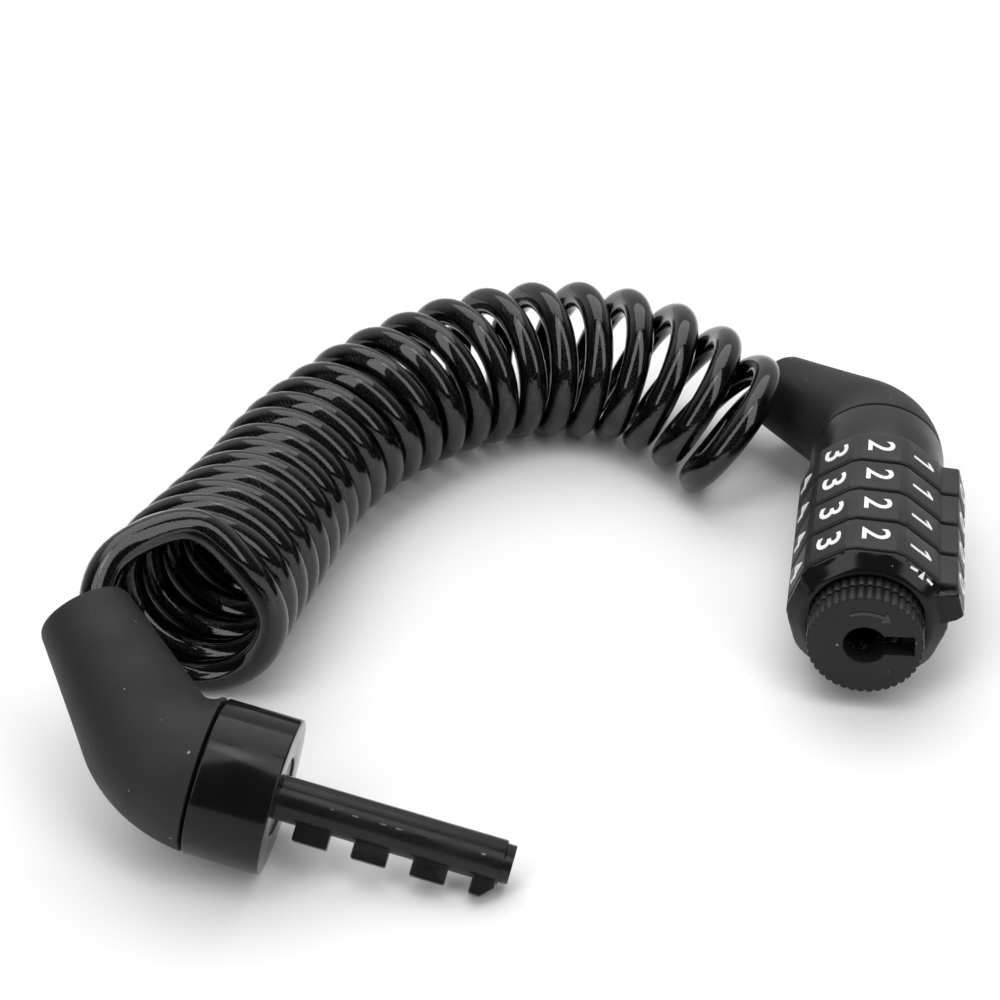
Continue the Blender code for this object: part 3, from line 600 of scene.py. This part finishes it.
def blend_by_turn(obj, a, b, weights):
    """Bakes the piece's placement into its mesh; the two bodies and the weights are not used."""
    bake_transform(obj)


def build_cable():
    near, far = cable_halves()
    for label, run, bodies, limits, smooth, nodes, bare in (
        ("lock", near, ("lock_head", "coil"), BEND_TURNS, True, ("lock_side", "middle"), (8.0, 0.0)),
        ("plug", far, ("coil", "plug"), STRETCH_TURNS, False, ("middle", "plug_side"), (0.0, 8.0)),
    ):
        # The jacket stops where the core goes into its ferrule.
        points, turns, at = resample(run, 1.15)
        keep = (at >= bare[0]) & (at <= at[-1] - bare[1])
        points, turns = points[keep], turns[keep]
        u, v = side_frames(points)
        sides = 28
        outer = tube_rings(points, u, v, [CABLE_R] * sides)
        inner = tube_rings(points, u, v, [JACKET_BORE_R] * sides)[::-1]
        verts = np.concatenate([outer, inner]).reshape(-1, 3)
        count = len(points)
        faces = ring_faces(2 * count, sides)
        which = [0] * ((count - 1) * sides) + [0] * sides + [1] * ((count - 1) * sides) + [0] * sides
        jacket = mesh_object(f"jacket_{label}_half", verts, faces, (SMOKE, SMOKE_INSIDE), None, 50.0, which)
        share = share_of(turns, limits)
        share = share * share * (3 - 2 * share) if smooth else share
        weights = np.repeat(np.concatenate([share, share[::-1]]), sides)
        blend_by_turn(jacket, *bodies, weights)
        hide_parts(*[f"cable_jacket_{n}" for n in nodes])

        points, turns, at = resample(run, 0.62)
        u, v = side_frames(points)
        per_wire = 3
        radii = [WIRE_OUTER_R if k % per_wire else WIRE_OUTER_R - WIRE_GROOVE for k in range(WIRES * per_wire)]
        rings = tube_rings(points, u, v, radii, at * math.tau / LAY)
        sides = len(radii)
        core = mesh_object(f"wires_{label}_half", rings.reshape(-1, 3), ring_faces(len(points), sides, False), WIRE, None, 80.0)
        share = share_of(turns, limits)
        share = share * share * (3 - 2 * share) if smooth else share
        blend_by_turn(core, *bodies, np.repeat(share, sides))
        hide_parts(*[f"steel_core_{n}" for n in nodes])


# Elbows and collars.


def circle_ring(centre, way, radius, steps):
    """A circle of vertices round a point of the elbow's XZ plane."""
    way = Vector(way).normalized()
    side = Vector((0.0, 1.0, 0.0))
    other = side.cross(way)
    return [
        tuple(Vector(centre) + radius * (math.cos(a) * other + math.sin(a) * side))
        for a in (math.tau * k / steps for k in range(steps))
    ]


def elbow_rings():
    """(centre, direction, radius) all round the elbow's skin: outside from joint to mouth, then inside and back."""
    bend = math.radians(ELBOW_BEND)
    mouth, out = elbow_mouth()
    arc = ELBOW_BEND_R * bend
    total = ELBOW_FIRST + arc + ELBOW_LAST

    def centre(d):
        if d <= ELBOW_FIRST:
            return Vector((0, 0, d)), Vector((0, 0, 1))
        if d <= ELBOW_FIRST + arc:
            a = (d - ELBOW_FIRST) / ELBOW_BEND_R
            spot = Vector((ELBOW_BEND_R * (1 - math.cos(a)), 0, ELBOW_FIRST + ELBOW_BEND_R * math.sin(a)))
            return spot, Vector((math.sin(a), 0, math.cos(a)))
        return mouth - (total - d) * out, out

    def radius(d):
        return COLLAR_R + (MOUTH_R - COLLAR_R) * (max(d, 0.0) / total) ** ELBOW_TAPER

    up = Vector((0, 0, 1))
    rings = [(Vector((0, 0, 0)), up, SPIGOT_R)]
    rings += [(Vector((0, 0, 0)), up, COLLAR_R - 0.45), (Vector((0, 0, 0.03)), up, COLLAR_R - 0.22)]
    rings += [(Vector((0, 0, 0.12)), up, COLLAR_R - 0.06), (Vector((0, 0, 0.3)), up, radius(0.3) - 0.005)]
    for d in np.linspace(0.5, total - 0.75, 44).tolist():
        spot, way = centre(d)
        rings.append((spot, way, radius(d)))
    lip = 0.65
    for k in range(1, 7):
        a = math.radians(90 * k / 6)
        spot = mouth - lip * (1 - math.sin(a)) * out
        rings.append((spot, out, radius(total) - lip * (1 - math.cos(a))))
    rings.append((mouth - 0.1 * out, out, FLARE_R + 0.1))
    rings.append((mouth - 0.4 * out, out, FLARE_R - 0.15))
    rings.append((mouth - THROAT * out, out, CABLE_R + GAP + 0.15))
    path = elbow_cable_path(14)
    for before, spot, after in list(zip(path, path[1:], path[2:]))[::-1]:
        rings.append((spot, after - before, CABLE_R + GAP + 0.15))
    rings.append((Vector((0, 0, FERRULE_TO + GAP)), up, CABLE_R + GAP + 0.15))
    rings.append((Vector((0, 0, FERRULE_TO + GAP)), up, FERRULE_R + GAP))
    rings.append((Vector((0, 0, FERRULE_FROM - GAP)), up, FERRULE_R + GAP))
    rings.append((Vector((0, 0, FERRULE_FROM - GAP)), up, SPIGOT_BORE_R))
    rings.append((Vector((0, 0, -SPIGOT_L)), up, SPIGOT_BORE_R))
    rings.append((Vector((0, 0, -SPIGOT_L)), up, SPIGOT_R - 0.3))
    rings.append((Vector((0, 0, -SPIGOT_L + 0.3)), up, SPIGOT_R))
    return rings


def build_elbow(name, node, body, holder):
    steps = 72
    rings = elbow_rings()
    verts = [v for centre, way, radius in rings for v in circle_ring(centre, way, radius, steps)]
    elbow = mesh_object(name, verts, ring_faces(len(rings), steps), SOFT, holder, 32.0)
    pin_hole = lathe("pin_hole", [(0.01, -8), (PIN_R + GAP, -8), (PIN_R + GAP, 8), (0.01, 8)], SOFT,
                     holder @ Matrix.Translation((0, 0, PIN_Z)) @ Matrix.Rotation(math.radians(90), 4, "X"), 16)
    boolean(elbow, pin_hole, "DIFFERENCE")
    tidy(elbow, 32.0)
    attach(elbow, body)
    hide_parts(node)


def build_collars():
    top, low = -GAP, DIAL_FROM + DIAL_PITCH * DIAL_COUNT + GAP - SEAM
    profile = rounded([(COLLAR_R, top), (COLLAR_R, low), (COLLAR_BORE_R, low), (COLLAR_BORE_R, top)], 0.28, 4)
    collar = lathe("lock_sleeve", profile, SATIN, LOCK_END, 112)
    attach(collar, "lock_head")
    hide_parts("lock_collar")

    face = -PLUG_COLLAR_TO
    profile = [
        (COLLAR_R, top), (COLLAR_R, face), (TAIL_R + GAP, face), (TAIL_R + GAP, face + PLUG_WALL),
        (COLLAR_BORE_R, face + PLUG_WALL), (COLLAR_BORE_R, top),
    ]
    collar = lathe("plug_sleeve", rounded(profile, 0.25, 4), GLOSS, PLUG_END, 112)
    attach(collar, "plug")
    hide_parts("plug_collar")


# The lock head.


def facet_radius():
    half = math.asin(RIDGE_W / 2 / RIDGE_R)
    return RIDGE_R * math.cos(math.radians(18) - half)


def dial_outline(with_lug=True):
    """Ten flat facets between narrow ridges, with one tapered thumb lug over the facet towards +X."""
    half = math.degrees(math.asin(RIDGE_W / 2 / RIDGE_R))
    points = []
    for ridge in range(10):
        angle = 18 + 36 * ridge
        points += [polar(RIDGE_R, angle - half), polar(RIDGE_R, angle + half)]
    if not with_lug:
        return points
    lug = [(LUG_ROOT_R, -LUG_ROOT_W / 2), (LUG_R, -LUG_TIP_W / 2), (LUG_R, LUG_TIP_W / 2), (LUG_ROOT_R, LUG_ROOT_W / 2)]
    return lug + points[1:-1]


def numeral_one(height):
    """A one with a slanting flag and no foot."""
    shape = [(0.0, -0.5), (0.15, -0.5), (0.15, 0.5), (0.02, 0.5), (-0.22, 0.31), (-0.22, 0.18), (0.0, 0.31)]
    scaled = [(x * height, y * height) for x, y in shape]
    return plate("numeral", [scaled], -0.06, 0.06, PAINT, Matrix.Identity(4), 0.01, 0)


def numeral(text, height, width, weight):
    """A flat numeral about its own middle, standing a hair above Z = 0."""
    if text == "1":
        return numeral_one(height)
    curve = bpy.data.curves.new("numeral", "FONT")
    curve.body = text
    curve.align_x = "CENTER"
    curve.align_y = "CENTER"
    curve.size = 1.0
    obj = bpy.data.objects.new("numeral", curve)
    bpy.context.scene.collection.objects.link(obj)
    bpy.context.view_layer.update()
    graph = bpy.context.evaluated_depsgraph_get()
    mesh = bpy.data.meshes.new_from_object(obj.evaluated_get(graph))
    co = np.array([v.co for v in mesh.vertices])
    low, high = co.min(0), co.max(0)
    bpy.data.meshes.remove(mesh)
    curve.extrude = 0.06 * MM
    curve.offset = weight * MM
    curve.size = height * MM / (high[1] - low[1])
    bpy.context.view_layer.update()
    graph = bpy.context.evaluated_depsgraph_get()
    mesh = bpy.data.meshes.new_from_object(obj.evaluated_get(graph))
    bpy.data.objects.remove(obj, do_unlink=True)
    co = np.array([v.co for v in mesh.vertices])
    low, high = co.min(0), co.max(0)
    middle = (low + high) / 2
    wide = (high[0] - low[0]) / MM
    mesh.transform(Matrix.Diagonal((width / wide, 1.0, 1.0, 1.0)) @ Matrix.Translation((-middle[0], -middle[1], 0.0)))
    shape = bmesh.new()
    shape.from_mesh(mesh)
    bmesh.ops.remove_doubles(shape, verts=shape.verts, dist=0.000002)
    shape.to_mesh(mesh)
    shape.free()
    mesh.materials.clear()
    mesh.materials.append(PAINT)
    made = bpy.data.objects.new("numeral", mesh)
    bpy.context.scene.collection.objects.link(made)
    return made


def facing(angle, distance, along):
    """A spot on the head's side at an angle seen from the front: Z out of the surface, Y clockwise, X to the front."""
    c, s = math.cos(math.radians(angle)), math.sin(math.radians(angle))
    # Columns: X is towards the front, Y is clockwise round the head, Z is outwards.
    turn = Matrix(((0, s, c), (0, -c, s), (1, 0, 0))).to_4x4()
    return FRONT @ Matrix.Translation((distance * c, distance * s, -along)) @ turn


def build_dials():
    facet = facet_radius()
    bore = [polar(CODE_RING_R / math.cos(math.radians(18)) + GAP, 36 * k) for k in range(10)]
    for i in range(DIAL_COUNT):
        low = DIAL_FROM + DIAL_PITCH * (DIAL_COUNT - 1 - i) + DIAL_GROOVE / 2
        high = low + DIAL_PITCH - DIAL_GROOVE
        body = f"dial_{i + 1}"
        dial = plate("dial", [rounded(dial_outline(), 0.35, 4), bore], -high, -low, DIAL, FRONT, 0.4, 3, 28.0)
        # A raised step on both faces closes the groove to the neighbours.
        front, back = low - 0.2, high + (0.45 if i == 0 else 0.2)
        step = [(STEP_R, -back), (STEP_R, -front), (STEP_BORE_R, -front), (STEP_BORE_R, -back)]
        dial = join(f"number_dial_{i + 1}", [dial, lathe("step", step, DIAL, FRONT, 96)])
        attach(dial, body)
        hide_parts(body)
        marks = []
        for digit in range(10):
            mark = numeral(str(digit), 3.15, 2.35, 0.05)
            if digit:
                spot = facing(36 * digit, facet + 0.01, (low + high) / 2)
            else:
                spot = facing(0, LUG_R + 0.01, (low + high) / 2) @ Matrix.Diagonal((0.9, 0.85, 1.0, 1.0))
            spot.translation *= MM
            mark.data.transform(spot)
            marks.append(mark)
        painted = join(f"numerals_{i + 1}", marks)
        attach(painted, body)


def radius_at(points, angle):
    """How far a closed outline reaches from the middle in a direction."""
    way = Vector(polar(1.0, angle))
    best = 0.0
    for a, b in zip(points, points[1:] + points[:1]):
        ax, ay, bx, by = *a, *b
        dx, dy = bx - ax, by - ay
        cross = way.x * dy - way.y * dx
        if abs(cross) < 1e-12:
            continue
        reach = (ax * dy - ay * dx) / cross
        share = (ax * way.y - ay * way.x) / cross
        if reach > 0 and -1e-6 <= share <= 1 + 1e-6:
            best = max(best, reach)
    return best


def build_flange():
    steps = 360
    plain = rounded(dial_outline(False), 0.35, 4)
    lug = [(0.0, -0.1), *[(x, -y) for x, y in FLANGE_LUG], *[(x, y) for x, y in reversed(FLANGE_LUG)], (0.0, 0.1)]
    angles = [360 * k / steps for k in range(steps)]
    body_r = [radius_at(plain, a) for a in angles]
    lug_r = [radius_at(lug, a) if a < 45 or a > 315 else 0.0 for a in angles]

    def ring(height, radii):
        return [(*polar(r, a), -height) for a, r in zip(angles, radii)]

    def cone(height):
        share = (height - FLANGE_FROM) / (FLANGE_FULL_FROM - FLANGE_FROM)
        return FLANGE_FRONT_R + (RIDGE_R + 0.3 - FLANGE_FRONT_R) * share

    def section(height, inset):
        """The radii at a height behind the lug's face, with the lug drawn in by an inset."""
        return ring(height, [max(min(body, cone(height)), reach - inset) for body, reach in zip(body_r, lug_r)])

    rings = [ring(FLANGE_FROM, [KNOB_R + GAP] * steps), ring(FLANGE_FROM, [FLANGE_FRONT_R - 0.2] * steps)]
    rings.append(ring(FLANGE_FROM + 0.06, [FLANGE_FRONT_R - 0.05] * steps))
    for height in (4.25, 4.45, 4.7, LUG_FROM):
        rings.append(ring(height, [min(r, cone(height)) for r in body_r]))
    for height, inset in ((0.0, 0.4), (0.06, 0.2), (0.2, 0.06), (0.4, 0.0), (0.65, 0.0), (0.85, 0.0)):
        rings.append(section(LUG_FROM + height, inset))
    back = [max(body, reach) for body, reach in zip(body_r, lug_r)]
    rings.append(ring(FLANGE_TO - 0.2, [r - 0.03 for r in back]))
    rings.append(ring(FLANGE_TO - 0.08, [r - 0.1 for r in back]))
    rings.append(ring(FLANGE_TO, [r - 0.25 for r in back]))
    for radius, height in ((CLIP_R + GAP, FLANGE_TO), (CLIP_R + GAP, CLIP_FROM - GAP), (HUB_R + GAP, CLIP_FROM - GAP),
                           (HUB_R + GAP, FLANGE_FROM + 0.5), (KNOB_R + GAP, FLANGE_FROM + 0.5)):
        rings.append(ring(height, [radius] * steps))
    verts = [v for one in rings for v in one]
    flange = mesh_object("front_rim", verts, ring_faces(len(rings), steps), GLOSS, FRONT, 24.0)
    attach(flange, "lock_head")
    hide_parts("front_flange")

    # A plain index mark on the slope, next to the first column of numerals.
    along = 5.3
    slope = math.degrees(math.atan2(FLANGE_FULL_FROM - FLANGE_FROM, RIDGE_R + 0.3 - FLANGE_FRONT_R))
    marks = []
    for angle, shape in (
        (33.0, [(-0.55, 0.0), (0.4, -0.38), (0.4, 0.38)]),
        (25.0, [(-0.2, -0.5), (-0.2, 0.5), (0.1, 0.5), (0.1, -0.5)]),
        (41.0, [(-0.2, -0.5), (-0.2, 0.5), (0.1, 0.5), (0.1, -0.5)]),
    ):
        base = facing(angle, cone(along) + 0.02, along)
        tilt = Matrix.Rotation(math.radians(90 - slope), 4, "Y")
        mark = plate("mark", [shape], -0.05, 0.05, PAINT, base @ tilt, 0.01, 0)
        marks.append(mark)
    mark = join("rim_index_mark", marks)
    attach(mark, "lock_head")


def knurl(radius, depth, teeth=KNURL_TEETH, per=6):
    """A scalloped rim: round-topped teeth with narrow grooves."""
    points = []
    for k in range(teeth * per):
        phase = (k % per) / per
        points.append(polar(radius - depth * (1 - abs(math.sin(math.pi * phase))) ** 1.6, 360 * k / (teeth * per)))
    return points


def keyway(radius, width, reach):
    corner = math.degrees(math.asin(width / 2 / radius))
    arc = [polar(radius, corner + (360 - 2 * corner) * i / 47) for i in range(48)]
    return arc + [(reach, -width / 2), (reach, width / 2)]


def build_knob():
    ring = plate(
        "grip_ring", [knurl(KNOB_R, KNURL_DEPTH), [polar(HUB_R + GAP, 6 * k) for k in range(60)]],
        -RING_TO, -RING_FROM, KNOB, KEY_FRONT, 0.12, 2, 40.0,
    )
    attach(ring, "lock_head")
    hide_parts("knurled_ring")

    disc = plate("knob_disc", [knurl(KNOB_R, KNURL_DEPTH), keyway(KEYWAY_R, KEYWAY_W, KEYWAY_REACH)],
                 -KNOB_T, 0.0, KNOB, KEY_FRONT, 0.14, 3, 40.0)
    hub = lathe(
        "hub",
        [(HUB_R, -KNOB_T + 0.1), (HUB_R, -CLIP_FROM + 0.15), (HUB_NECK_R, -CLIP_FROM + 0.15),
         (HUB_NECK_R, -CLIP_TO - 0.15), (HUB_R, -CLIP_TO - 0.15), (HUB_R, -HUB_TO), (SPINDLE_R + GAP, -HUB_TO),
         (SPINDLE_R + GAP, -KNOB_T + 0.1)],
        KNOB, KEY_FRONT, 64,
    )
    knob = join("set_knob_disc", [disc, hub])
    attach(knob, "knob")
    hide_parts("set_knob")

    # A plain moulded turn arrow above the keyway.
    arc = []
    for k in range(13):
        arc.append(polar(4.75, 62 + 50 * k / 12))
    for k in range(13):
        arc.append(polar(4.3, 112 - 50 * k / 12))
    head = [polar(5.35, 62), polar(4.52, 48), polar(3.7, 62)]
    marks = [plate("mark", [rounded(shape, 0.08, 2)], -0.05, 0.12, FAINT, KEY_FRONT, 0.05, 1) for shape in (arc, head)]
    mark = join("knob_turn_mark", marks)
    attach(mark, "knob")


# The bolt.


def build_bolt():
    face = -PLUG_COLLAR_TO
    end = face - BOLT_L
    profile = [
        (0.02, -2.1), (TAIL_R, -2.1), (TAIL_R, face + TAIL_RECESS), (BOLT_R, face + TAIL_RECESS), (BOLT_R, end),
        (BOLT_R - 0.3, end), (BOLT_R - 0.3, end - BOLT_TIP_L), (0.02, end - BOLT_TIP_L),
    ]
    bolt = lathe("bolt_bar", rounded(profile, 0.14, 2, False), COAT, PLUG_END, 64)
    roll = Matrix.Rotation(math.radians(TOOTH_ROLL - 90 - PLUG_ELBOW_TURN), 4, "Z")
    # A comb drawn with its length along Y: Y goes to -Z, and its thickness from Z to Y.
    lay = Matrix(((1, 0, 0, 0), (0, 0, 1, 0), (0, -1, 0, 0), (0, 0, 0, 1)))
    for i in range(4):
        start = TOOTH_FIRST + TOOTH_PITCH * i
        stop = min(start + TOOTH_L, BOLT_L - 0.2)
        chamfer = 1.2 if i == 3 else 0.15
        shape = [(0.6, start), (TOOTH_REACH - 0.15, start), (TOOTH_REACH, start + 0.15), (TOOTH_REACH, stop - chamfer),
                 (TOOTH_REACH - chamfer, stop), (0.6, stop)]
        tooth = plate("tooth", [shape], -TOOTH_W / 2, TOOTH_W / 2, COAT,
                      PLUG_END @ roll @ Matrix.Translation((0, 0, face)) @ lay, 0.12, 1)
        boolean(bolt, tooth, "UNION")
    pin_hole = lathe("pin_hole", [(0.01, -8), (PIN_R + GAP, -8), (PIN_R + GAP, 8), (0.01, 8)], COAT,
                     PLUG_END @ Matrix.Translation((0, 0, PIN_Z)) @ Matrix.Rotation(math.radians(90), 4, "X"), 16)
    boolean(bolt, pin_hole, "DIFFERENCE")
    tidy(bolt, 32.0)
    bolt.name = "toothed_bolt"
    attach(bolt, "plug")
    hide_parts("locking_bolt")


def finish_inner_nodes():
    """Procedural finishes for the CAD nodes that stay as they are."""
    for name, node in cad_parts.items():
        if node.hide_render:
            continue
        if name.startswith("code_ring"):
            made = BRASS_LIKE
        elif name == "lock_spindle":
            made = COAT
        else:
            made = STEEL
        node.data.materials.clear()
        node.data.materials.append(made)


# The floor, light and camera.


def area(name, azimuth, elevation, distance, width, height, power, target):
    """A soft panel that looks at the target. Azimuth 0 is behind the camera, and positive to its right."""
    heading = math.radians(CAMERA_HEADING)
    a, e = math.radians(azimuth), math.radians(elevation)
    local = Vector((math.sin(a) * math.cos(e), -math.cos(a) * math.cos(e), math.sin(e)))
    way = Matrix.Rotation(heading, 3, "Z") @ local
    data = bpy.data.lights.new(name, "AREA")
    data.shape = "RECTANGLE"
    data.size = width
    data.size_y = height
    data.energy = power
    obj = bpy.data.objects.new(name, data)
    obj.location = target + way * distance
    obj.rotation_euler = way.to_track_quat("Z", "Y").to_euler()
    bpy.context.scene.collection.objects.link(obj)


CAMERA_AT = Vector((32.97, -223.19, 167.0)) * MM
CAMERA_DOWN, CAMERA_HEADING, CAMERA_LENS = 33.6, 9.8, 82.15


def build_stage():
    made, tree, surface = new_material("paper_floor")
    tone = ramp(tree, noise(tree, 12.0, 5.0), ((0.3, (0.84, 0.84, 0.84)), (0.7, (0.87, 0.87, 0.87))))
    tree.links.new(tone, surface.inputs["Base Color"])
    surface.inputs["Roughness"].default_value = 0.7
    bump(tree, surface, noise(tree, 500.0, 3.0), 0.15, 0.1)
    size = 3000.0
    floor = mesh_object("floor", [(-size, -size, -0.02), (size, -size, -0.02), (size, size, -0.02), (-size, size, -0.02)],
                        [(0, 1, 2, 3)], made)
    floor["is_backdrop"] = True

    low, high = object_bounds()
    target = (low + high) / 2
    area("panel_left", -46, 50, 0.9, 0.4, 1.55, 5.6, target)
    area("panel_right", 46, 50, 0.9, 0.4, 1.55, 5.2, target)
    area("panel_back", 180, 62, 1.1, 1.2, 0.9, 6.0, target)

    world = bpy.data.worlds.new("studio")
    bpy.context.scene.world = world
    world.use_nodes = True
    tree = world.node_tree
    ground = tree.nodes["Background"]
    # The room is bright behind the object and dim behind the camera.
    place = tree.nodes.new("ShaderNodeTexCoord")
    turn = add(tree, "ShaderNodeMapping", Rotation=(0.0, 0.0, math.radians(-CAMERA_HEADING)))
    tree.links.new(place.outputs["Generated"], turn.inputs["Vector"])
    split = tree.nodes.new("ShaderNodeSeparateXYZ")
    tree.links.new(turn.outputs["Vector"], split.inputs["Vector"])
    tone = ramp(tree, split.outputs["Y"], ((0.05, 0.05), (0.5, 1.0)))
    tree.links.new(tone, ground.inputs["Color"])
    ground.inputs["Strength"].default_value = 0.75

    data = bpy.data.cameras.new("camera")
    data.lens = CAMERA_LENS
    data.sensor_width = 36.0
    data.clip_start = 0.005
    data.clip_end = 20.0
    camera = bpy.data.objects.new("camera", data)
    camera.location = CAMERA_AT
    camera.rotation_euler = (math.radians(90 - CAMERA_DOWN), 0.0, math.radians(CAMERA_HEADING))
    bpy.context.scene.collection.objects.link(camera)
    bpy.context.scene.camera = camera
    bpy.context.scene.view_settings.view_transform = "Standard"


build_cable()
build_elbow("lock_elbow_cover", "lock_elbow", "lock_head", LOCK_END)
build_elbow("plug_elbow_cover", "plug_elbow", "plug", PLUG_END)
build_collars()
build_dials()
build_flange()
build_knob()
build_bolt()
finish_inner_nodes()
build_stage()
